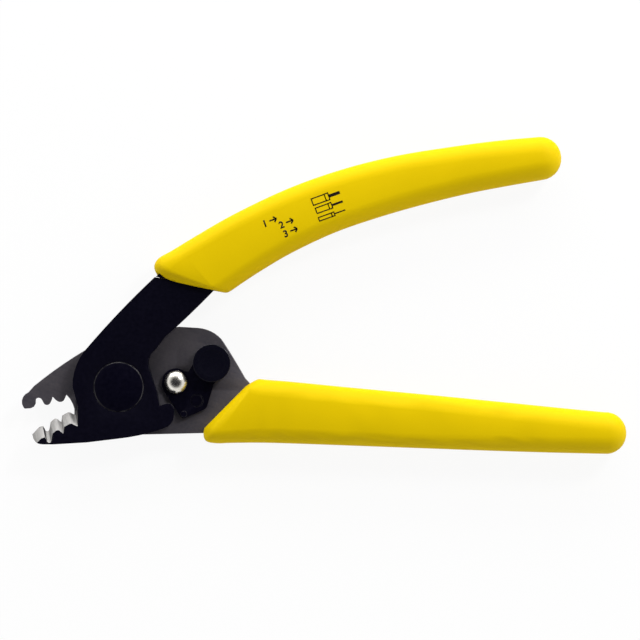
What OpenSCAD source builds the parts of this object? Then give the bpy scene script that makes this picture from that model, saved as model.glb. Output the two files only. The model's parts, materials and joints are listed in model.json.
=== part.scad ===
// Three-notch fibre stripper: two plate levers on a sprung hub, with a swinging lock.
// X runs from the jaws to the grip ends, Y runs up across the levers, Z is the thickness.
// The tool lies on the backs of its grips. Every outline is measured from the pivot.

/* [Levers] */
// Thickness of each steel lever plate
plate_t = 3; // [2.4:0.1:3.4]
// Air between the two plates
plate_gap = 0.04; // [0.02:0.01:0.08]
// Radius of the rounded head of each lever round the pivot
head_r = 12; // [11.8:0.1:12.2]
// Angle that the front lever turns through from open to closed
closing_angle = 20; // [18:0.5:20]
// Reach of the jaws behind the pivot, along X
jaw_reach = 25.5; // [25:0.1:26]
// Sideways run of the ground jaw faces for each millimetre of plate
bevel_slope = 1; // [0.7:0.05:1.05]

/* [Grips] */
// Reach of the straight lower grip in front of the pivot, along X
lower_reach = 132; // [120:0.1:140]
// Reach of the bowed upper grip in front of the pivot, along X
upper_reach = 115.2; // [105:0.1:120]
// Rise of the upper grip's back above the pivot, along Y
upper_rise = 65.1; // [63:0.1:67]
// Drop of the lower grip's belly below the pivot, along Y
lower_drop = 17.5; // [17:0.1:18]
// Length of the round end of each grip
end_length = 5.3; // [4.6:0.1:5.6]
// Thickness of the moulded grips
grip_t = 10; // [9.5:0.1:11]
// Radius of the rounded grip edges
grip_round = 4.6; // [3.4:0.1:4.6]
// Radius of the rounded front of each grip
front_round = 2.6; // [2:0.1:3.2]
// Wall of grip material beside the tang inside it
grip_wall = 3.4; // [2.8:0.1:4]
// Length of each grip that its tang stops short of
tang_short = 16; // [10:1:30]

/* [Pivot hub] */
// Diameter of the hub's flush head
hub_head_d = 13; // [12:0.1:14]
// Thickness of the hub's flush head
hub_head_t = 1.2; // [1:0.1:1.4]
// Edge break round the hub's flush head
hub_chamfer = 0.2; // [0.1:0.05:0.4]
// Diameter of the journal that the front lever turns on
journal_d = 11.4; // [11:0.1:11.8]
// Diameter of the stem through the rear lever
stem_d = 6; // [5.6:0.1:6.2]
// Diameter of the screw that holds the hub from behind
hub_screw_d = 3.5; // [3:0.1:4]
// Diameter of that screw's sunk head
hub_screw_head_d = 8; // [7:0.1:9]
// Thickness of that screw's sunk head
hub_screw_head_t = 1.1; // [0.9:0.1:1.3]
// Radial running clearance of the turning joints
running_gap = 0.05; // [0.02:0.01:0.09]

/* [Return spring] */
// Diameter of the spring wire
wire_d = 0.8; // [0.6:0.05:0.9]
// Mean diameter of the spring's coil
coil_d = 8; // [7.8:0.1:8.2]
// Full turns in the coil
coil_turns = 1; // [1:1:2]
// Air all round the spring wire in its groove
spring_gap = 0.1; // [0.08:0.01:0.15]

/* [Lock] */
// Distance of the lock rivet in front of the pivot, along X
rivet_x = 14.7; // [14.6:0.1:14.9]
// Height of the lock rivet above the pivot, along Y
rivet_y = 1.2; // [1.1:0.1:1.4]
// Diameter of the rivet's shank
rivet_d = 3; // [2.6:0.1:3.4]
// Diameter of the rivet's domed head
rivet_head_d = 6; // [5.8:0.1:6.4]
// Height of the rivet's domed head
rivet_head_h = 2.4; // [1.8:0.1:2.6]
// Thickness of the lock plate
lock_t = 0.8; // [0.7:0.05:1]
// Angle that the lock plate swings through
lock_swing = 36; // [30:1:36]
// Diameter of the thumb disc
disc_d = 9.7; // [9.2:0.1:9.8]
// Height of the thumb disc above the lock plate
disc_h = 2.6; // [2:0.1:3]
// Diameter of the catch pip pressed up at the lock plate's nose
pip_d = 1.6; // [1.2:0.1:1.8]
// Height of that catch pip above the lock plate
pip_h = 0.8; // [0.6:0.1:0.9]

/* [Hidden] */
$fn = 64;
eps = 0.01;

// Heights: the two plates meet at the middle of the grips' thickness.
joint_z = grip_t / 2;
rear_top = joint_z - plate_gap / 2;
rear_bottom = rear_top - plate_t;
front_bottom = joint_z + plate_gap / 2;
front_top = front_bottom + plate_t;

// A point at radius r and angle a from the pivot
function polar(r, a) = [r * cos(a), r * sin(a)];
// The centre of the circle through three points
function centre3(a, b, c) =
    let (d = 2 * (a.x * (b.y - c.y) + b.x * (c.y - a.y) + c.x * (a.y - b.y)),
         aa = a * a, bb = b * b, cc = c * c)
    [(aa * (b.y - c.y) + bb * (c.y - a.y) + cc * (a.y - b.y)) / d,
     (aa * (c.x - b.x) + bb * (a.x - c.x) + cc * (b.x - a.x)) / d];
function unit(v) = v / norm(v);
// Angle b moved by whole turns to lie within half a turn of angle a
function near(a, b) = b - 360 * round((b - a) / 360);
// Points on the arc from a through b to c, drawn inset mm to the right of that way
function arc3(a, b, c, steps = 8, inset = 0, from = 0, to = 1) =
    let (m = centre3(a, b, c),
         turn = sign((b.x - a.x) * (c.y - b.y) - (b.y - a.y) * (c.x - b.x)),
         r = norm(a - m) + turn * inset,
         a0 = atan2(a.y - m.y, a.x - m.x),
         a1 = near(a0, atan2(b.y - m.y, b.x - m.x)),
         a2 = near(a1, atan2(c.y - m.y, c.x - m.x)))
    [for (i = [0 : steps]) let (t = a0 + (a2 - a0) * (from + (to - from) * i / steps))
        m + polar(r, t)];

// Points on the smooth line through all the rows of a table, with some steps from row to row
function smooth(rows, steps) = concat(
    [for (i = [0 : len(rows) - 2], k = [0 : steps - 1]) let (t = k / steps,
        a = rows[max(i - 1, 0)], b = rows[i], c = rows[i + 1], d = rows[min(i + 2, len(rows) - 1)])
        b + t / 2 * (c - a + t * (2 * a - 5 * b + 4 * c - d + t * (3 * b - a - 3 * c + d)))],
    [rows[len(rows) - 1]]);

// Each grip by its stations from front to end, as shares of its reach and its rise or drop:
// back's X and Y, belly's X and Y
upper_stations = [
    [0.0747, 0.4332, 0.2335, 0.3763], [0.0760, 0.4747, 0.2387, 0.3748], [0.0885, 0.5138, 0.2509, 0.3825],
    [0.1181, 0.5441, 0.2778, 0.4151], [0.1736, 0.6037, 0.3212, 0.4651], [0.2604, 0.6916, 0.3906, 0.5369],
    [0.3819, 0.7934, 0.4861, 0.6163], [0.5035, 0.8694, 0.5816, 0.6751], [0.6250, 0.9235, 0.6771, 0.7243],
    [0.7465, 0.9587, 0.7812, 0.7700], [0.8507, 0.9833, 0.8681, 0.8003], [0.9488, 0.9992, 0.9575, 0.8280]];
lower_stations = [
    [0.2629, 0.1114, 0.1538, -0.7200], [0.2712, 0.1143, 0.1674, -0.8114], [0.2818, 0.1086, 0.1932, -0.8429],
    [0.2955, 0.0983, 0.2197, -0.8371], [0.3409, 0.0709, 0.2879, -0.8343], [0.4545, -0.0131, 0.3939, -0.8594],
    [0.6061, -0.1189, 0.5455, -0.9017], [0.7576, -0.2314, 0.7197, -0.9497], [0.8712, -0.3183, 0.8485, -0.9800],
    [0.9568, -0.3806, 0.9636, -1.0000]];
function sides(stations, reach, rise) =
    [for (s = smooth(stations, 4)) [[s[0] * reach, s[1] * rise], [s[2] * reach, s[3] * rise]]];
upper_sides = sides(upper_stations, upper_reach, upper_rise);
lower_sides = sides(lower_stations, lower_reach, lower_drop);

// Rings of one rounded section along a grip: rounded in at the front, closed round at the end
ring_quarter = 6;
front_rings = 6;
cap_rings = 7;
function section(half_w, half_h) =
    let (rx = min(grip_round, 0.9 * half_w), rz = min(grip_round, 0.9 * half_h))
    [for (q = [0 : 3], i = [0 : ring_quarter])
        let (a = 90 * (q + i / ring_quarter), sx = (q == 0 || q == 3) ? 1 : -1, sz = q < 2 ? 1 : -1)
        [sx * (half_w - rx) + rx * cos(a), sz * (half_h - rz) + rz * sin(a)]];
// One ring across the grip between its two sides, moved on, drawn in by mm or by a share
function across(sides, on = 0, inset = 0, share = 1) =
    let (mid = (sides[0] + sides[1]) / 2, way = unit(sides[0] - sides[1]),
         half_w = norm(sides[0] - sides[1]) / 2)
    [for (p = section(share * (half_w - inset), share * (grip_t / 2 - inset)))
        [mid.x + way.y * on + way.x * p.x, mid.y - way.x * on + way.y * p.x, joint_z + p.y]];
function grip_rings(sides) = concat(
    [for (i = [0 : len(sides) - 1])
        across(sides[i], inset = i < front_rings ? front_round * (1 - sin(90 * i / front_rings)) : 0)],
    [for (i = [1 : cap_rings]) let (a = 87 * i / cap_rings)
        across(sides[len(sides) - 1], on = end_length * sin(a), share = cos(a))]);
upper_rings = grip_rings(upper_sides);
lower_rings = grip_rings(lower_sides);

// The box that holds the whole tool, seen from the front
jaw_nose = arc3([1.7 - jaw_reach, -1.5], [-jaw_reach, -4.3], [1.1 - jaw_reach, -6.1], 6);
mid_x = (max([for (r = lower_rings, p = r) p.x]) + min([for (p = jaw_nose) p.x])) / 2;
mid_y = (max([for (r = upper_rings, p = r) p.y]) + min([for (r = lower_rings, p = r) p.y])) / 2;

// Cutting edges on the faces that slide past each other, from the throat to the tip
throat_x = -11.5;
lower_teeth = concat(
    [[-12.9, 3], [throat_x, -2], [throat_x, -7.3]],
    arc3([-12.4, -7], [-13.2, -6.65], [-14, -6.95], 4), [[-15, -7.5], [-15.2, -9.2]],
    arc3([-15.9, -8.7], [-16.6, -8.3], [-17.3, -8.6], 4), [[-18, -9.2]],
    arc3([-18.3, -11.1], [-19, -11.6], [-19.5, -11], 6), [[-20, -10.2], [-21, -10.5], [-24.4, -14.2]]);
upper_teeth = concat(
    [[-11.4, -7], [-12.2, -4.6], [-12.9, -3.3], [-13.85, -2.2], [-14.2, -3]],
    arc3([-14.5, -3.6], [-15.3, -4.05], [-16.1, -3.9], 4), [[-16.7, -3.5], [-17.45, -2.7], [-17.7, -3.6]],
    arc3([-18.1, -4.4], [-18.9, -4.85], [-19.7, -4.5], 5),
    arc3([-20.2, -3.6], [-20.6, -3.1], [-21.8, -3.3], 5),
    [[-21.85, -4.5], [-22.3, -5.3], [-23.2, -5.7], [-26.5, -5.9]]);
lower_bevel_a = -73;
upper_bevel_a = 104;

// Lock: outline corners about the rivet, the thumb disc and the catch pip
rivet_at = [rivet_x, rivet_y];
lock_eye_r = rivet_head_d / 2 + 0.6;
disc_from_rivet = [9.45, 5];
pip_from_rivet = [2.1, -8.3];
nose_r = pip_d / 2 + 0.35;
lock_corner = [6.9, -5.9];
lock_corner_r = 1.3;
mark_at = [5.5, -4.8];
mark_r = 1.4;
lock_reach = norm(lock_corner) + lock_corner_r + 0.2;
lock_seat_gap = 0.06;
lock_bottom = rear_top + lock_seat_gap;
lock_top = lock_bottom + lock_t;
washer_t = 0.3;
rivet_foot_d = rivet_d + 1.8;
rivet_foot_t = 0.8;
disc_stem_d = 3;

// Spring: its groove in the hub, its anchor in the rear lever, its slot in the front lever
coil_r = coil_d / 2;
groove_in_r = coil_r - wire_d / 2 - spring_gap;
groove_out_r = coil_r + wire_d / 2 + spring_gap;
coil_pitch = wire_d + 0.04;
coil_base = rear_top + wire_d / 2 + spring_gap;
coil_top = coil_base + coil_turns * coil_pitch;
groove_top = coil_top + wire_d / 2 + spring_gap;
anchor_a = 90;
leg_a = anchor_a - 360 * coil_turns;
leg_z = coil_top;
anchor_depth = 1.6;
slot_depth = 1.2;
room_gap = 0.15;
leg_reach = journal_d / 2 + slot_depth - 0.25;
slot_half = asin((wire_d / 2 + spring_gap) / (journal_d / 2));

module at_pivot() translate([-mid_x, -mid_y, 0]) children();

// A plate between two heights
module plate(z0, z1) translate([0, 0, z0]) linear_extrude(z1 - z0) children();

// A cut whose outline moves sideways by bevel_slope mm for each mm of height above z0
module slanted_cut(z0, height, bevel_a) {
    run = bevel_slope * sign(height);
    z_low = min(z0, z0 + height);
    multmatrix([
        [1, 0, run * cos(bevel_a), -z0 * run * cos(bevel_a)],
        [0, 1, run * sin(bevel_a), -z0 * run * sin(bevel_a)],
        [0, 0, 1, 0]])
        translate([0, 0, z_low]) linear_extrude(abs(height)) children();
}

module lower_mouth() polygon(concat(lower_teeth, [[-30, -14.2], [-30, 3]]));
module upper_mouth() polygon(concat(upper_teeth, [[-30, -7], [-30, -13], [-11.4, -13]]));

// A grip's tang: the grip's sides drawn in by grip_wall, from behind its front to short of its end
module tang(sides, root_back, root_belly) {
    last = len(sides) - 1;
    inside = [for (i = [2 * front_rings : last]) if (norm(sides[last][0] - sides[i][0]) > tang_short) i];
    polygon(concat([root_back],
        [for (i = inside) sides[i][0] + grip_wall * unit(sides[i][1] - sides[i][0])],
        [for (k = [len(inside) - 1 : -1 : 0]) let (i = inside[k])
            sides[i][1] + grip_wall * unit(sides[i][0] - sides[i][1])],
        [root_belly]));
}

module upper_tang() tang(upper_sides, [9.6, 28.6], [25.1, 25.1]);

module front_outline() {
    polygon(concat(
        arc3([9.35, 28.5], [-0.35, 18.85], [-8.3, 10], 8),
        arc3([-9, 9.2], [-11.2, 5], [-head_r, 0], 5),
        [[-13, -2], [-26, -6], [-24.6, -12]],
        arc3([-22.7, -12.6], [-21.6, -14.3], [-19.6, -14.9], 4),
        [[-16.8, -14.9], [-8.3, -14.4]], arc3([0, -13.4], [6, -12.4], [10.4, -11.2], 4),
        arc3([11.6, -10.8], [13.6, -9.4], [14.3, -7.2], 4),
        arc3([14.5, -6.5], [14.2, -5.3], [13.4, -4.4], 3),
        arc3([12.6, -4.3], [11.4, -4.6], [10.6, -5], 3), [[9.9, -1.4], [8.7, 2.1]],
        arc3([7.9, 4.8], [7.7, 6.9], [9.2, 9.4], 4),
        arc3([11.9, 12.9], [18.2, 18.7], [25.1, 25.6], 6)));
}

module lower_tang() tang(lower_sides, [33.9, 0.8], [22.4, -12.1]);

module rear_outline() {
    polygon(concat(
        arc3([-9.2, 9.4], [-16.4, 4.7], [-22.4, 0.1], 5), jaw_nose,
        [[-24, -7], [-13, -8]], arc3(polar(head_r, 215), polar(head_r, 240), polar(head_r, 265), 8),
        [[6, -12.5], [22.4, -12.1], [33.9, 0.8]], arc3([32.7, 2.1], [29.3, 7.9], [27.1, 11.4], 4),
        arc3([26.4, 12.4], [24.1, 14.2], [20.4, 15.3], 6), [[15.5, 15.6], [5, 14.6]]));
}

module rear_lever() color([0.28, 0.27, 0.3]) at_pivot() difference() {
    union() {
        plate(rear_bottom, rear_top) rear_outline();
        plate(rear_bottom, rear_top) lower_tang();
    }
    slanted_cut(rear_top + eps, -plate_t - 2 * eps, upper_bevel_a) upper_mouth();
    plate(rear_bottom - eps, rear_top + eps) circle(d = stem_d);
    plate(rear_bottom - eps, rear_bottom + hub_screw_head_t + plate_gap) circle(d = hub_screw_head_d + 0.2);
    plate(rear_top - anchor_depth, rear_top + eps)
        translate(polar(coil_r, anchor_a)) circle(d = wire_d + 2 * spring_gap);
    plate(rear_bottom - eps, rear_top + eps) translate(rivet_at) circle(d = rivet_d);
    plate(rear_bottom - eps, rear_bottom + rivet_foot_t) translate(rivet_at) circle(d = rivet_foot_d);
}

// The lock plate's outline at rest, about the rivet
module lock_outline() {
    circle(r = lock_eye_r);
    hull() {
        translate([-0.3, -0.4]) circle(r = 3.4);
        translate(pip_from_rivet) circle(r = nose_r);
        translate(lock_corner) circle(r = lock_corner_r);
        translate([8.2, -0.8]) circle(r = 1.5);
        translate([4, 2]) circle(r = 0.8);
    }
    hull() {
        translate(disc_from_rivet) circle(r = 4.1);
        translate([7, -0.4]) circle(r = 2.2);
        translate([3.5, 1.6]) circle(r = 0.8);
    }
}

// Room milled in the back of the front lever's hook for the swinging lock plate and its pip.
// The strip of lever that it leaves above the pip is the catch that holds the levers shut.
module lock_room() {
    pip_r = norm(pip_from_rivet);
    pip_a = atan2(pip_from_rivet.y, pip_from_rivet.x);
    locked_a = pip_a - lock_swing;
    plate(front_bottom - eps, lock_top + room_gap) translate(rivet_at) intersection() {
        circle(r = lock_reach);
        rotate(locked_a) translate([0, -2 * nose_r]) square(lock_reach);
    }
    translate([rivet_x, rivet_y, lock_top]) {
        rotate(locked_a) rotate_extrude(angle = lock_swing + 10)
            translate([pip_r - pip_d / 2 - room_gap, 0]) square([pip_d + 2 * room_gap, pip_h + room_gap]);
        translate(polar(pip_r, locked_a)) cylinder(d = pip_d + 2 * room_gap, h = pip_h + room_gap);
    }
}

module front_lever() color([0.06, 0.06, 0.07]) at_pivot() difference() {
    union() {
        plate(front_bottom, front_top) front_outline();
        plate(front_bottom, front_top) upper_tang();
    }
    slanted_cut(front_bottom - eps, plate_t + 2 * eps, lower_bevel_a) lower_mouth();
    plate(front_bottom - eps, front_top + eps) circle(d = journal_d + 2 * running_gap);
    plate(front_top - hub_head_t - plate_gap, front_top + eps) circle(d = hub_head_d + 2 * running_gap);
    plate(front_bottom - eps, leg_z + wire_d / 2 + spring_gap) rotate(leg_a)
        translate([0, -wire_d / 2 - spring_gap]) square([leg_reach + spring_gap, wire_d + 2 * spring_gap]);
    lock_room();
}

// A grip: its rings joined up, with room for the lever and its tang
module loft(rings) {
    n = len(rings[0]);
    last = len(rings) - 1;
    polyhedron([for (r = rings) each r], concat(
        [for (i = [0 : last - 1], k = [0 : n - 1])
            [i * n + k, (i + 1) * n + k, (i + 1) * n + (k + 1) % n, i * n + (k + 1) % n]],
        [[for (k = [0 : n - 1]) k], [for (k = [n - 1 : -1 : 0]) last * n + k]]));
}

module upper_grip() color([0.95, 0.8, 0.02]) at_pivot() difference() {
    loft(upper_rings);
    plate(front_bottom, front_top) front_outline();
    plate(front_bottom, front_top) upper_tang();
}

module lower_grip() color([0.95, 0.8, 0.02]) at_pivot() difference() {
    loft(lower_rings);
    plate(rear_bottom, rear_top) rear_outline();
    plate(rear_bottom, rear_top) lower_tang();
}

// Hub: flush head and journal in the front lever, hollow for the spring, stem in the rear lever
module pivot_hub() color([0.07, 0.07, 0.08]) at_pivot() difference() {
    union() {
        plate(rear_bottom + hub_screw_head_t + 2 * plate_gap, rear_top + eps) circle(d = stem_d);
        plate(rear_top, front_top) circle(d = journal_d);
        plate(front_top - hub_head_t, front_top - hub_chamfer) circle(d = hub_head_d);
        translate([0, 0, front_top - hub_chamfer])
            cylinder(d1 = hub_head_d, d2 = hub_head_d - 2 * hub_chamfer, h = hub_chamfer);
    }
    plate(rear_top - eps, groove_top) difference() {
        circle(r = groove_out_r);
        circle(r = groove_in_r);
    }
    // Window in the journal's wall for the spring leg, over the whole closing angle
    translate([0, 0, leg_z - wire_d / 2 - spring_gap]) rotate(leg_a - closing_angle - slot_half)
        rotate_extrude(angle = closing_angle + 2 * slot_half)
            translate([coil_r, 0]) square([journal_d / 2, wire_d + 2 * spring_gap]);
    plate(rear_bottom, joint_z) circle(d = hub_screw_d);
}

module pivot_screw() color([0.12, 0.12, 0.13]) at_pivot() difference() {
    union() {
        plate(rear_bottom, rear_bottom + hub_screw_head_t) circle(d = hub_screw_head_d);
        plate(rear_bottom, joint_z - 0.2) circle(d = hub_screw_d);
    }
    plate(rear_bottom - eps, rear_bottom + 0.6) square([hub_screw_head_d + 1, 1], center = true);
}

// Spring: anchor leg down into the rear lever, the coil, then a radial leg out to the front lever
coil_steps = 20;
coil_sides = 8;
spring_path = concat(
    [for (z = [rear_top - anchor_depth + 0.2, rear_top, coil_base]) concat(polar(coil_r, anchor_a), z)],
    [for (i = [1 : coil_turns * coil_steps]) let (t = i / coil_steps)
        concat(polar(coil_r, anchor_a - 360 * t), coil_base + coil_pitch * t)],
    [concat(polar(coil_r + 0.8, leg_a), leg_z), concat(polar(leg_reach, leg_a), leg_z)]);

// The wire's section at one point of its path, square to the run through the points beside it
function ring(path, i) =
    let (run = unit(path[min(i + 1, len(path) - 1)] - path[max(i - 1, 0)]),
         side = unit(cross(run, abs(run.z) > 0.9 ? [0, 1, 0] : [0, 0, 1])), up = cross(side, run))
    [for (k = [0 : coil_sides - 1]) let (a = 360 * k / coil_sides)
        path[i] + wire_d / 2 * (cos(a) * side + sin(a) * up)];

module wire(path) {
    n = coil_sides;
    last = len(path) - 1;
    polyhedron([for (i = [0 : last]) each ring(path, i)], concat(
        [for (i = [0 : last - 1], k = [0 : n - 1])
            [i * n + k, i * n + (k + 1) % n, (i + 1) * n + (k + 1) % n, (i + 1) * n + k]],
        [[for (k = [n - 1 : -1 : 0]) k], [for (k = [0 : n - 1]) last * n + k]]));
}

module return_spring() color([0.6, 0.6, 0.62]) at_pivot() wire(spring_path);

module lock_plate() color([0.08, 0.08, 0.09]) at_pivot() translate(rivet_at) difference() {
    union() {
        plate(lock_bottom, lock_top) lock_outline();
        plate(lock_top - eps, lock_top + pip_h) translate(pip_from_rivet) circle(d = pip_d);
    }
    plate(lock_bottom - eps, lock_top + eps) circle(d = rivet_d + 2 * running_gap);
    plate(lock_bottom - eps, lock_top + eps) translate(disc_from_rivet) circle(d = disc_stem_d);
    // Plain ring pressed into the face
    plate(lock_top - 0.1, lock_top + eps) translate(mark_at) difference() {
        circle(r = mark_r + 0.3);
        circle(r = mark_r);
    }
}

module lock_washer() color([0.5, 0.5, 0.52]) at_pivot() translate(rivet_at)
    plate(lock_top + plate_gap, lock_top + plate_gap + washer_t) difference() {
        circle(d = rivet_head_d - 0.6);
        circle(d = rivet_d + 2 * running_gap);
    }

module lock_rivet() color([0.85, 0.85, 0.87]) at_pivot() translate(rivet_at) {
    head_z = lock_top + washer_t + 2 * plate_gap;
    dome_r = (pow(rivet_head_d / 2, 2) + pow(rivet_head_h, 2)) / (2 * rivet_head_h);
    plate(rear_bottom, head_z) circle(d = rivet_d);
    plate(rear_bottom, rear_bottom + rivet_foot_t) circle(d = rivet_foot_d);
    intersection() {
        translate([0, 0, head_z + rivet_head_h - dome_r]) sphere(r = dome_r);
        plate(head_z, head_z + rivet_head_h + 1) circle(d = rivet_head_d + 1);
    }
}

module thumb_disc() color([0.04, 0.04, 0.05]) at_pivot() translate(rivet_at + disc_from_rivet) {
    rim = 0.6;
    plate(lock_bottom, lock_top + eps) circle(d = disc_stem_d);
    plate(lock_top, lock_top + disc_h - rim) circle(d = disc_d);
    translate([0, 0, lock_top + disc_h - rim]) cylinder(d1 = disc_d, d2 = disc_d - 2 * rim, h = rim);
}

rear_lever();
lower_grip();
pivot_hub();
pivot_screw();
return_spring();
front_lever();
upper_grip();
lock_plate();
lock_washer();
lock_rivet();
thumb_disc();
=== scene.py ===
import json
import math

import bpy
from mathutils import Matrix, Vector


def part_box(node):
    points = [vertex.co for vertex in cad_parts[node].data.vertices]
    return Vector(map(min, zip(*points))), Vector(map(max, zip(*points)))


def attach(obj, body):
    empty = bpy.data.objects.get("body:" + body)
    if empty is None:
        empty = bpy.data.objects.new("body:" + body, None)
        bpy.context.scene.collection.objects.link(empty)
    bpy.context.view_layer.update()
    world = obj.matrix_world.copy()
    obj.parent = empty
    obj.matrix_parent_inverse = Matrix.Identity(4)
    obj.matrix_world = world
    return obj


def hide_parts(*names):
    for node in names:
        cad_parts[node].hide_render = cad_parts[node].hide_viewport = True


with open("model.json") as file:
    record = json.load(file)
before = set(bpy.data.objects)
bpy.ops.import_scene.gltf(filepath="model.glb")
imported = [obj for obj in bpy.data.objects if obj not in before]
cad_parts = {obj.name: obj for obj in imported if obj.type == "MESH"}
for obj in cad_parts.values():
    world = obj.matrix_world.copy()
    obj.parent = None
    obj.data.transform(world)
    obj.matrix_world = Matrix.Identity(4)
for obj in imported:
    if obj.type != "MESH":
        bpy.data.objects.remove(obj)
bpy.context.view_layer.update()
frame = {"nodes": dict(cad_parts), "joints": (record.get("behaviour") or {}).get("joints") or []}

# ------------------------------------------------------------------ table, camera and lamps
# White paper under the tool and a camera straight above it. A long soft lamp stands behind the
# bowed grip, low down; the ceiling is dark, so that flat polished faces look dark.
MM = 0.001
nodes = frame["nodes"]
joint_at = {joint["name"]: Vector(joint["pos_m"]) for joint in frame["joints"]}
pivot = joint_at["squeeze"]
rivet = joint_at["lock_swing"]
scene = bpy.context.scene
scene.view_settings.view_transform = "Standard"


class Value:
    """A shader socket that is written in sums: each operator adds its Math node."""

    def __init__(self, finish, socket):
        self.finish, self.socket = finish, socket

    def sum(self, operation, a, b=0.0, clamp=False):
        settings = {"operation": operation, "use_clamp": clamp}
        return self.finish.node("ShaderNodeMath", settings, {0: a, 1: b})[0]

    def __add__(self, other): return self.sum("ADD", self, other)
    def __radd__(self, other): return self.sum("ADD", other, self)
    def __sub__(self, other): return self.sum("SUBTRACT", self, other)
    def __rsub__(self, other): return self.sum("SUBTRACT", other, self)
    def __mul__(self, other): return self.sum("MULTIPLY", self, other)
    def __rmul__(self, other): return self.sum("MULTIPLY", other, self)
    def __abs__(self): return self.sum("ABSOLUTE", self)
    def __gt__(self, limit): return self.sum("GREATER_THAN", self, limit)
    def __lt__(self, limit): return self.sum("LESS_THAN", self, limit)

    def rise(self, low, high):
        """0 below low, 1 above high, and straight between them."""
        return self.sum("MULTIPLY", self - low, 1 / (high - low), clamp=True)


class Made:
    """One shader node; made[0] or made["Fac"] is an output of it."""

    def __init__(self, finish, node):
        self.finish, self.node = finish, node

    def __getitem__(self, output):
        return Value(self.finish, self.node.outputs[output])


class Finish:
    """The nodes of one finish, on a material or on the world."""

    def __init__(self, name, owner=None, **shader):
        self.owner = owner or bpy.data.materials.new(name)
        self.owner.use_nodes = True
        self.tree = self.owner.node_tree
        self.surface = self.tree.nodes["Background" if owner else "Principled BSDF"]
        for socket, value in shader.items():
            self.set(socket.replace("_", " "), value)

    def node(self, kind, settings=None, sockets=None):
        node = self.tree.nodes.new(kind)
        for name, value in (settings or {}).items():
            if name == "stops":
                for at, colour in value[2:]:
                    node.color_ramp.elements.new(at)
                for element, (at, colour) in zip(node.color_ramp.elements, sorted(value)):
                    element.position, element.color = at, (*colour, 1)
            else:
                setattr(node, name, value)
        for name, value in (sockets or {}).items():
            self.feed(node.inputs[name], value)
        return Made(self, node)

    def feed(self, socket, value):
        if isinstance(value, Value):
            self.tree.links.new(value.socket, socket)
        elif socket.type == "RGBA" and len(value) == 3:
            socket.default_value = (*value, 1)
        else:
            socket.default_value = value

    def set(self, socket, value):
        self.feed(self.surface.inputs[socket], value)

    def place(self, centre=(0, 0, 0), turn=0.0, stretch=(1, 1, 1)):
        where = self.node("ShaderNodeTexCoord")["Object"]
        return self.node("ShaderNodeMapping", {"vector_type": "TEXTURE"}, {
            "Vector": where, "Location": centre, "Rotation": (0, 0, turn), "Scale": stretch})[0]

    def xyz(self, vector):
        split = self.node("ShaderNodeSeparateXYZ", sockets={0: vector})
        return split["X"], split["Y"], split["Z"]

    def facing(self):
        return self.xyz(self.node("ShaderNodeNewGeometry")["Normal"])

    def noise(self, scale, detail=3.0, where=None):
        return self.node("ShaderNodeTexNoise", sockets={
            "Vector": where or self.place(), "Scale": scale, "Detail": detail, "Roughness": 0.55})[0]

    def ramp(self, value, *stops):
        return self.node("ShaderNodeValToRGB", {"stops": stops}, {0: value})[0]

    def mix(self, factor, a, b):
        return self.node("ShaderNodeMix", {"data_type": "RGBA"}, {0: factor, 6: a, 7: b})[2]

    def bump(self, height, depth):
        self.set("Normal", self.node("ShaderNodeBump", sockets={
            "Height": height, "Strength": 1.0, "Distance": depth})[0])


def soft_lamp(name, place, size, power):
    data = bpy.data.lights.new(name, "AREA")
    data.shape, data.size, data.size_y = "RECTANGLE", size[0], size[1]
    data.energy = power
    lamp = bpy.data.objects.new(name, data)
    scene.collection.objects.link(lamp)
    lamp.location = place
    lamp.rotation_euler = (-Vector(place)).to_track_quat("-Z", "Y").to_euler()


soft_lamp("strip_behind", place=(-0.05, 0.95, 0.3), size=(1.7, 0.35), power=12.8)
soft_lamp("glint", place=(0.42, 0.42, 0.42), size=(0.14, 0.14), power=2.6)

ceiling_angle = 38
bright_angle = 58
dark_ceiling = (0.015, 0.015, 0.02)
room_strength = 1.2
room = bpy.data.worlds.new("room")
scene.world = room
dome = Finish("room", room)
up = dome.xyz(dome.node("ShaderNodeTexCoord")["Generated"])[2]
beside_ceiling = 1 - up.rise(math.cos(math.radians(bright_angle)),
                             math.cos(math.radians(ceiling_angle)))
dome.set("Color", dome.mix(beside_ceiling, dark_ceiling, (1.0, 1.0, 1.0)))
dome.set("Strength", room_strength)

paper_glow = 0.92
paper = Finish("paper", Base_Color=(0.9, 0.9, 0.9), Roughness=0.9)
glow = paper.node("ShaderNodeEmission", sockets={"Color": (1, 1, 1), "Strength": 1.0})
seen = paper.node("ShaderNodeLightPath")["Is Camera Ray"]
blend = paper.node("ShaderNodeMixShader", sockets={0: seen * paper_glow, 2: glow[0]})
paper.tree.links.new(paper.surface.outputs[0], blend.node.inputs[1])
paper.tree.links.new(blend.node.outputs[0], paper.tree.nodes["Material Output"].inputs["Surface"])
bpy.ops.object.select_all(action="DESELECT")
bpy.ops.mesh.primitive_plane_add(size=6, location=(0, 0, 0))
table = bpy.context.object
table.name = "table"
table.data.materials.append(paper.owner)

camera_height = 0.6
plates_height = 0.0065
view_width = 0.1664
view_centre = (pivot.x + 52.23 * MM, pivot.y + 17.37 * MM)
sensor_width = 36
camera_data = bpy.data.cameras.new("camera")
camera_data.sensor_width = sensor_width
camera_data.lens = sensor_width * (camera_height - plates_height) / view_width
camera = bpy.data.objects.new("camera", camera_data)
scene.collection.objects.link(camera)
camera.location = (*view_centre, camera_height)
scene.camera = camera


# ------------------------------------------------------------------ rear lever
# Plate blanked from spring steel and ground on both faces, left grey. Its jaw closes behind
# the front one, and its tang runs down inside the straight grip.
def only(piece):
    bpy.ops.object.select_all(action="DESELECT")
    piece.select_set(True)
    bpy.context.view_layer.objects.active = piece


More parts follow.
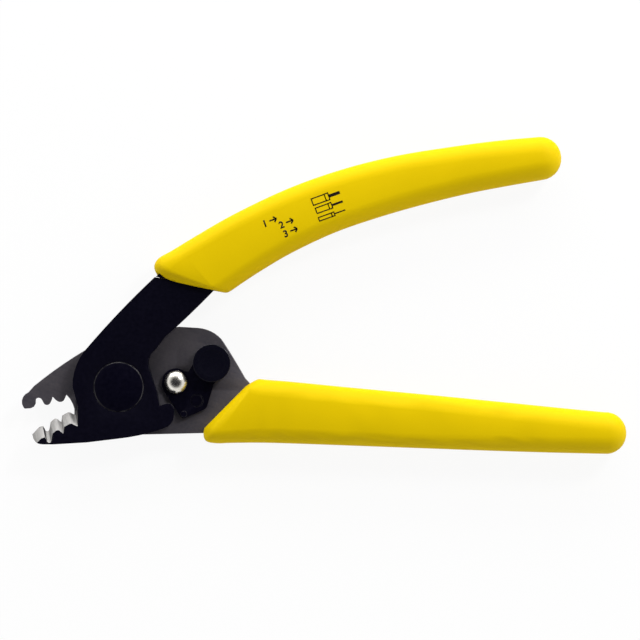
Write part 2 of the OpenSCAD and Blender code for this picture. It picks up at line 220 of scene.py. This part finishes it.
def merged(node, name, flat=True):
    """A copy of a CAD node with its triangles joined, on flat plates into whole faces."""
    piece = nodes[node].copy()
    piece.data = nodes[node].data.copy()
    piece.name = piece.data.name = name
    piece.parent = None
    scene.collection.objects.link(piece)
    only(piece)
    bpy.ops.object.mode_set(mode="EDIT")
    bpy.ops.mesh.select_all(action="SELECT")
    bpy.ops.mesh.remove_doubles(threshold=1e-6)
    if flat:
        bpy.ops.mesh.dissolve_limited(angle_limit=math.radians(0.5))
    else:
        bpy.ops.mesh.tris_convert_to_quads(
            face_threshold=math.radians(30), shape_threshold=math.radians(60))
    bpy.ops.object.mode_set(mode="OBJECT")
    return piece


def break_edges(piece, edge, segments=2, sharp=35):
    bevel = piece.modifiers.new("edge", "BEVEL")
    bevel.width, bevel.segments, bevel.limit_method = edge, segments, "ANGLE"
    bevel.angle_limit = math.radians(sharp)
    only(piece)
    bpy.ops.object.modifier_apply(modifier="edge")
    bpy.ops.object.shade_smooth_by_angle(angle=math.radians(28))


def coated(piece, finish):
    piece.data.materials.clear()
    piece.data.materials.append(finish.owner)


def finished(piece, finish, body, slot, *replaced):
    coated(piece, finish)
    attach(piece, body)
    if replaced:
        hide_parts(*replaced)


ground = Finish("ground_steel", Metallic=0.85)
grain = ground.noise(1.0, 4.0, ground.place(
    turn=math.radians(-20), stretch=(8 * MM, 0.25 * MM, 2 * MM)))
cloud = ground.noise(110.0)
speck = ground.noise(1400.0, 2.0)
ground.set("Base Color", ground.ramp(cloud * 0.55 + grain * 0.2 + speck * 0.25,
    (0.32, (0.085, 0.08, 0.099)), (0.7, (0.152, 0.138, 0.148))))
ground.set("Roughness", 0.46 + grain * 0.16)
ground.bump(grain * 0.6 + speck * 0.4, 0.004 * MM)
rear_plate = merged("rear_lever", "rear_plate")
break_edges(rear_plate, 0.12 * MM)
finished(rear_plate, ground, "rear_body", "ground_steel", "rear_lever")


# ------------------------------------------------------------------ pivot hub and its screw
# Turned steel hub in black oxide, its flush head in the front lever, held by a sunk screw from
# behind. The chamfer round the head is painted lighter steel: part rubbed wear, part painted
# highlight.
BLACK = (0.0012, 0.001, 0.0045)


def black_oxide(name, rubbed_edge_glint, roughness=0.4):
    """Black oxide with lighter steel painted on its broken edges: partly rubbed wear, partly a
    painted highlight.
    """
    finish = Finish(name, Specular_IOR_Level=0.06)
    fleck = finish.noise(1100.0, 2.0)
    patch = finish.noise(260.0)
    tilt = finish.facing()[2]
    # painted highlight: broken edges turn lighter metal, partly for rubbed wear and partly standing
    # in for their glint
    edge = (tilt > 0.25) * (tilt < 0.97) * patch.rise(0.42, 0.62) * rubbed_edge_glint
    oxide = finish.ramp(fleck, (0.3, BLACK), (0.75, (0.0028, 0.0024, 0.0075)))
    finish.set("Base Color", finish.mix(edge, oxide, (0.30, 0.29, 0.29)))
    finish.set("Metallic", edge)
    finish.set("Roughness", roughness + fleck * 0.12)
    finish.bump(fleck, 0.003 * MM)
    return finish


hub_finish = black_oxide("hub_oxide", 0.22, 0.3)
hub = merged("pivot_hub", "turned_hub")
break_edges(hub, 0.04 * MM, 1)
finished(hub, hub_finish, "rear_body", "black_steel", "pivot_hub")
screw = merged("pivot_screw", "slotted_screw")
break_edges(screw, 0.1 * MM)
finished(screw, hub_finish, "rear_body", "black_steel", "pivot_screw")


# ------------------------------------------------------------------ return spring
# Torsion spring of drawn wire in the hub's groove, out of sight. Draw marks run round the wire.
def drawn_wire(name):
    finish = Finish(name, Metallic=1.0)
    marks = finish.noise(1.0, 3.0, finish.place(stretch=(0.05 * MM, 0.05 * MM, 2 * MM)))
    finish.set("Base Color", finish.ramp(marks, (0.3, (0.36, 0.36, 0.38)), (0.7, (0.56, 0.55, 0.54))))
    finish.set("Roughness", 0.24 + marks * 0.2)
    finish.bump(marks, 0.003 * MM)
    return finish


wire_finish = drawn_wire("drawn_wire")
coated(nodes["return_spring"], wire_finish)


# ------------------------------------------------------------------ front lever
# The same plate in black oxide. After blacking, the slanted notches of its jaw are ground, so
# their faces are bright steel with fine marks along the wheel's way.
jaw_root = 10.6 * MM
wheel_way = math.radians(17)
front_finish = black_oxide("front_oxide", 0.35)
tilt = front_finish.facing()[2]
beside = front_finish.xyz(front_finish.place())[0]
bare = (tilt > 0.35) * (tilt < 0.9) * (beside < pivot.x - jaw_root)
marks = front_finish.noise(1.0, 2.0, front_finish.place(
    turn=wheel_way, stretch=(0.1 * MM, 3 * MM, 3 * MM)))
# these carry the oxide colour with its painted edge highlight and wear; the ground notches override
# them
oxide_with_edge_glint, rubbed_edge_glint = (Value(front_finish, front_finish.surface.inputs[socket].links[0].from_socket)
                   for socket in ("Base Color", "Metallic"))
steel = front_finish.ramp(marks, (0.3, (0.26, 0.255, 0.25)), (0.7, (0.37, 0.36, 0.35)))
front_finish.set("Base Color", front_finish.mix(bare, oxide_with_edge_glint, steel))
front_finish.set("Metallic", bare * 0.8 + (1 - bare) * rubbed_edge_glint)
front_finish.set("Roughness", 0.42 + bare * 0.16 + marks * 0.08)
front_plate = merged("front_lever", "front_plate")
break_edges(front_plate, 0.15 * MM)
finished(front_plate, front_finish, "front_body", "black_steel", "front_lever")


# ------------------------------------------------------------------ lock
# Black stamped plate that swings on a polished dome rivet with a thin washer under its head. A
# gloss button is pressed into the plate for the thumb, and a pip at its nose catches the lever.
lock_finish = black_oxide("lock_oxide", 0.25, 0.34)
lock_stamping = merged("lock_plate", "lock_stamping")
break_edges(lock_stamping, 0.08 * MM)
finished(lock_stamping, lock_finish, "lock_body", "lock_black", "lock_plate")

coated(nodes["lock_washer"], wire_finish)


def choose(piece, test):
    """Selects the faces of a piece in edit mode whose centre and normal pass a test."""
    bpy.ops.object.mode_set(mode="OBJECT")
    for edge in piece.data.edges:
        edge.select = False
    for vertex in piece.data.vertices:
        vertex.select = False
    for face in piece.data.polygons:
        face.select = test(face.center, face.normal)
    bpy.ops.object.mode_set(mode="EDIT")
    bpy.ops.mesh.select_mode(type="FACE")


def seated(piece):
    """Puts a finished piece's place into its mesh."""
    only(piece)
    bpy.ops.object.transform_apply(location=True, rotation=True, scale=True)


def drawn_out(rise):
    """Extrudes the chosen faces up by a rise, or down where it is negative."""
    bpy.ops.mesh.extrude_region_move(TRANSFORM_OT_translate={"value": (0, 0, rise)})


low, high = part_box("lock_rivet")
head_r = (high[0] - low[0]) / 2
head_gap = 0.04 * MM
head_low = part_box("lock_washer")[1][2] + head_gap
head_height = 1.6 * MM
shank_r = 1.5 * MM
foot_r = 2.4 * MM
foot_height = 0.8 * MM
dome_r = (head_r ** 2 + head_height ** 2) / (2 * head_height)
bpy.ops.object.select_all(action="DESELECT")
bpy.ops.mesh.primitive_uv_sphere_add(segments=72, ring_count=96, radius=dome_r,
    location=(rivet.x, rivet.y, head_low + head_height - dome_r))
dome_rivet = bpy.context.object
dome_rivet.name = "dome_rivet"
seated(dome_rivet)
bpy.ops.object.mode_set(mode="EDIT")
bpy.ops.mesh.select_all(action="SELECT")
bpy.ops.mesh.bisect(plane_co=(rivet.x, rivet.y, head_low), plane_no=(0, 0, 1),
    use_fill=True, clear_inner=True)
choose(dome_rivet, lambda centre, normal: normal.z < -0.9)
bpy.ops.mesh.inset(thickness=head_r - shank_r)
drawn_out(low[2] + foot_height - head_low)
drawn_out(0)
flare = foot_r / shank_r
bpy.ops.transform.resize(value=(flare, flare, 1), center_override=(rivet.x, rivet.y, 0))
drawn_out(-foot_height)
bpy.ops.object.mode_set(mode="OBJECT")
break_edges(dome_rivet, 0.06 * MM)
polish = Finish("rivet_polish", Metallic=1.0)
scuff = polish.noise(1.0, 3.0, polish.place(turn=0.6, stretch=(1.2 * MM, 0.08 * MM, 0.5 * MM)))
tarnish = polish.noise(420.0)
polish.set("Base Color", polish.ramp(tarnish, (0.35, (0.58, 0.555, 0.50)), (0.7, (0.74, 0.72, 0.67))))
polish.set("Roughness", 0.2 + scuff * 0.12)
polish.bump(scuff, 0.0015 * MM)
finished(dome_rivet, polish, "rear_body", "bright_rivet", "lock_rivet")

low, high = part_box("thumb_disc")
button_at = Vector(((low[0] + high[0]) / 2, (low[1] + high[1]) / 2, 0))
button_r = (high[0] - low[0]) / 2
stem_r = 1.5 * MM
stem_height = 0.8 * MM
rim_width = 1.3 * MM
dish_slope = 0.5 * MM
dish_depth = 0.12 * MM
seat = low[2] + stem_height
bpy.ops.object.select_all(action="DESELECT")
bpy.ops.mesh.primitive_cylinder_add(vertices=96, radius=button_r, depth=high[2] - seat,
    location=(button_at.x, button_at.y, (high[2] + seat) / 2))
button = bpy.context.object
button.name = "thumb_button"
seated(button)
choose(button, lambda centre, normal: normal.z > 0.9)
bpy.ops.mesh.inset(thickness=rim_width)
drawn_out(0)
bpy.ops.mesh.inset(thickness=dish_slope)
bpy.ops.transform.translate(value=(0, 0, -dish_depth))
choose(button, lambda centre, normal: normal.z < -0.9)
bpy.ops.mesh.inset(thickness=button_r - stem_r)
drawn_out(low[2] - seat)
bpy.ops.object.mode_set(mode="OBJECT")
break_edges(button, 0.9 * MM, 8, 60)
gloss = Finish("button_gloss", Specular_IOR_Level=0.5)
rub = gloss.noise(1.0, 3.0, gloss.place(turn=1.0, stretch=(2.5 * MM, 0.06 * MM, 1 * MM)))
dust = gloss.noise(2500.0, 1.0)
gloss.set("Base Color", gloss.ramp(dust, (0.3, BLACK), (0.8, (0.004, 0.004, 0.008))))
gloss.set("Roughness", 0.14 + rub * 0.14)
gloss.bump(rub, 0.001 * MM)
finished(button, gloss, "lock_body", "disc_black", "thumb_disc")


# ------------------------------------------------------------------ grips
# Soft yellow vinyl moulded round the tangs, satin, with a faint parting line along the middle of
# the edges and a slightly darker tone where hands have been.
parting_height = 5 * MM


def vinyl(name):
    finish = Finish(name, Specular_IOR_Level=0.05)
    skin = finish.noise(1500.0, 2.0)
    tone = finish.noise(38.0)
    high_up = finish.xyz(finish.place())[2]
    line = 1 - abs(high_up - parting_height).rise(0.05 * MM, 0.16 * MM)
    seam = line * 0.25
    yellow = finish.ramp(tone * 0.8 + skin * 0.2,
        (0.3, (0.64, 0.45, 0.0)), (0.7, (0.69, 0.487, 0.0002)))
    finish.set("Base Color", finish.mix(seam, yellow, (0.5, 0.33, 0.0)))
    finish.set("Roughness", 0.5 + skin * 0.12)
    finish.bump(skin * 0.4 + line, 0.02 * MM)
    return finish


vinyl_finish = vinyl("grip_vinyl")
for node, name, body in (("lower_grip", "straight_grip", "rear_body"),
                         ("upper_grip", "bowed_grip", "front_body")):
    grip = merged(node, name, flat=False)
    bpy.ops.object.shade_smooth_by_angle(angle=math.radians(70))
    finished(grip, vinyl_finish, body, "grip_vinyl", node)


# ------------------------------------------------------------------ printed legend
# Black pad print on the bowed grip: one row for each notch, with its number, an arrow and a
# small drawing of a cable that is stripped down to its core. It is a thin film of ink.

# In mm from the pivot: number and its place, arrow, start of the cable, length and height of its
# jacket, length of its next layer and width of its core.
ROWS = (
    ("1", (38.0, 42.2), (40.1, 43.3), (50.24, 47.82), 3.57, 1.75, 0.95, 0.78),
    ("2", (42.3, 41.9), (44.4, 42.9), (51.25, 45.57), 3.46, 1.45, 0.83, 0.57),
    ("3", (43.4, 39.6), (45.5, 40.7), (51.97, 43.38), 3.55, 0.95, 0.70, 0.31))
SLANT = math.radians(20)
LINE = 0.27
ARROW_LINE = 0.36
CORE_LENGTH = 3.0
DIGIT_HEIGHT = 2.5 * MM
DIGIT_WEIGHT = 0.06 * MM
START_HEIGHT = 11 * MM
PRINT_RISE = 0.03 * MM
FILM_THICKNESS = 0.025 * MM
ALONG = Vector((math.cos(SLANT), math.sin(SLANT)))
ACROSS = Vector((-math.sin(SLANT), math.cos(SLANT)))
ink_shapes = []


def above(spot):
    return (pivot.x + spot[0] * MM, pivot.y + spot[1] * MM, START_HEIGHT)


def stroke(start, end, width):
    start, end = Vector(start), Vector(end)
    way = end - start
    bpy.ops.object.select_all(action="DESELECT")
    bpy.ops.mesh.primitive_plane_add(size=MM, location=above((start + end) / 2),
        rotation=(0, 0, math.atan2(way.y, way.x)))
    shape = bpy.context.object
    shape.scale = (way.length + (width if width <= LINE else 0), width, 1)
    seated(shape)
    bpy.ops.object.mode_set(mode="EDIT")
    bpy.ops.mesh.subdivide(number_cuts=4)
    bpy.ops.object.mode_set(mode="OBJECT")
    ink_shapes.append(shape)


def box_outline(left, length, height):
    far = left + ALONG * length
    up_by = ACROSS * height / 2
    for start, end in ((left - up_by, left + up_by), (left + up_by, far + up_by),
                       (far + up_by, far - up_by), (far - up_by, left - up_by)):
        stroke(start, end, LINE)


for digit, digit_at, arrow_at, cable_at, length, height, ferrule, core in ROWS:
    bpy.ops.object.select_all(action="DESELECT")
    bpy.ops.object.text_add(location=above(digit_at), rotation=(0, 0, SLANT))
    number = bpy.context.object
    number.data.body, number.data.size = digit, DIGIT_HEIGHT
    number.data.align_x, number.data.align_y = "CENTER", "CENTER"
    number.data.offset = DIGIT_WEIGHT
    only(number)
    bpy.ops.object.convert(target="MESH")
    seated(number)
    ink_shapes.append(number)
    cable, arrow = Vector(cable_at), Vector(arrow_at)
    tip = arrow + ALONG * 0.9
    stroke(arrow - ALONG, tip, ARROW_LINE)
    for side in (1, -1):
        stroke(arrow + ALONG * 0.2 + ACROSS * 0.7 * side, tip, ARROW_LINE)
    box_outline(cable, length, height)
    box_outline(cable + ALONG * length, ferrule, height * 1.05)
    core_from = length + ferrule
    stroke(cable + ALONG * core_from, cable + ALONG * (core_from + CORE_LENGTH), core)

bpy.ops.object.select_all(action="DESELECT")
for shape in ink_shapes:
    shape.select_set(True)
legend = ink_shapes[0]
bpy.context.view_layer.objects.active = legend
bpy.ops.object.join()
legend.name = legend.data.name = "legend_print"
wrap = legend.modifiers.new("lie", "SHRINKWRAP")
wrap.target, wrap.wrap_method, wrap.offset = grip, "PROJECT", PRINT_RISE
wrap.use_project_z, wrap.use_negative_direction = True, True
wrap.use_positive_direction = False
film = legend.modifiers.new("film", "SOLIDIFY")
film.thickness, film.offset = FILM_THICKNESS, -1
only(legend)
bpy.ops.object.modifier_apply(modifier="lie")
bpy.ops.object.modifier_apply(modifier="film")
ink = Finish("pad_print_ink", Specular_IOR_Level=0.15)
thin = ink.noise(1600.0, 2.0)
ink.set("Base Color", ink.ramp(thin, (0.3, (0.002, 0.001, 0.001)), (0.8, (0.012, 0.007, 0.002))))
ink.set("Roughness", 0.5 + thin * 0.2)
ink.bump(thin, 0.003 * MM)
finished(legend, ink, "front_body", "disc_black")
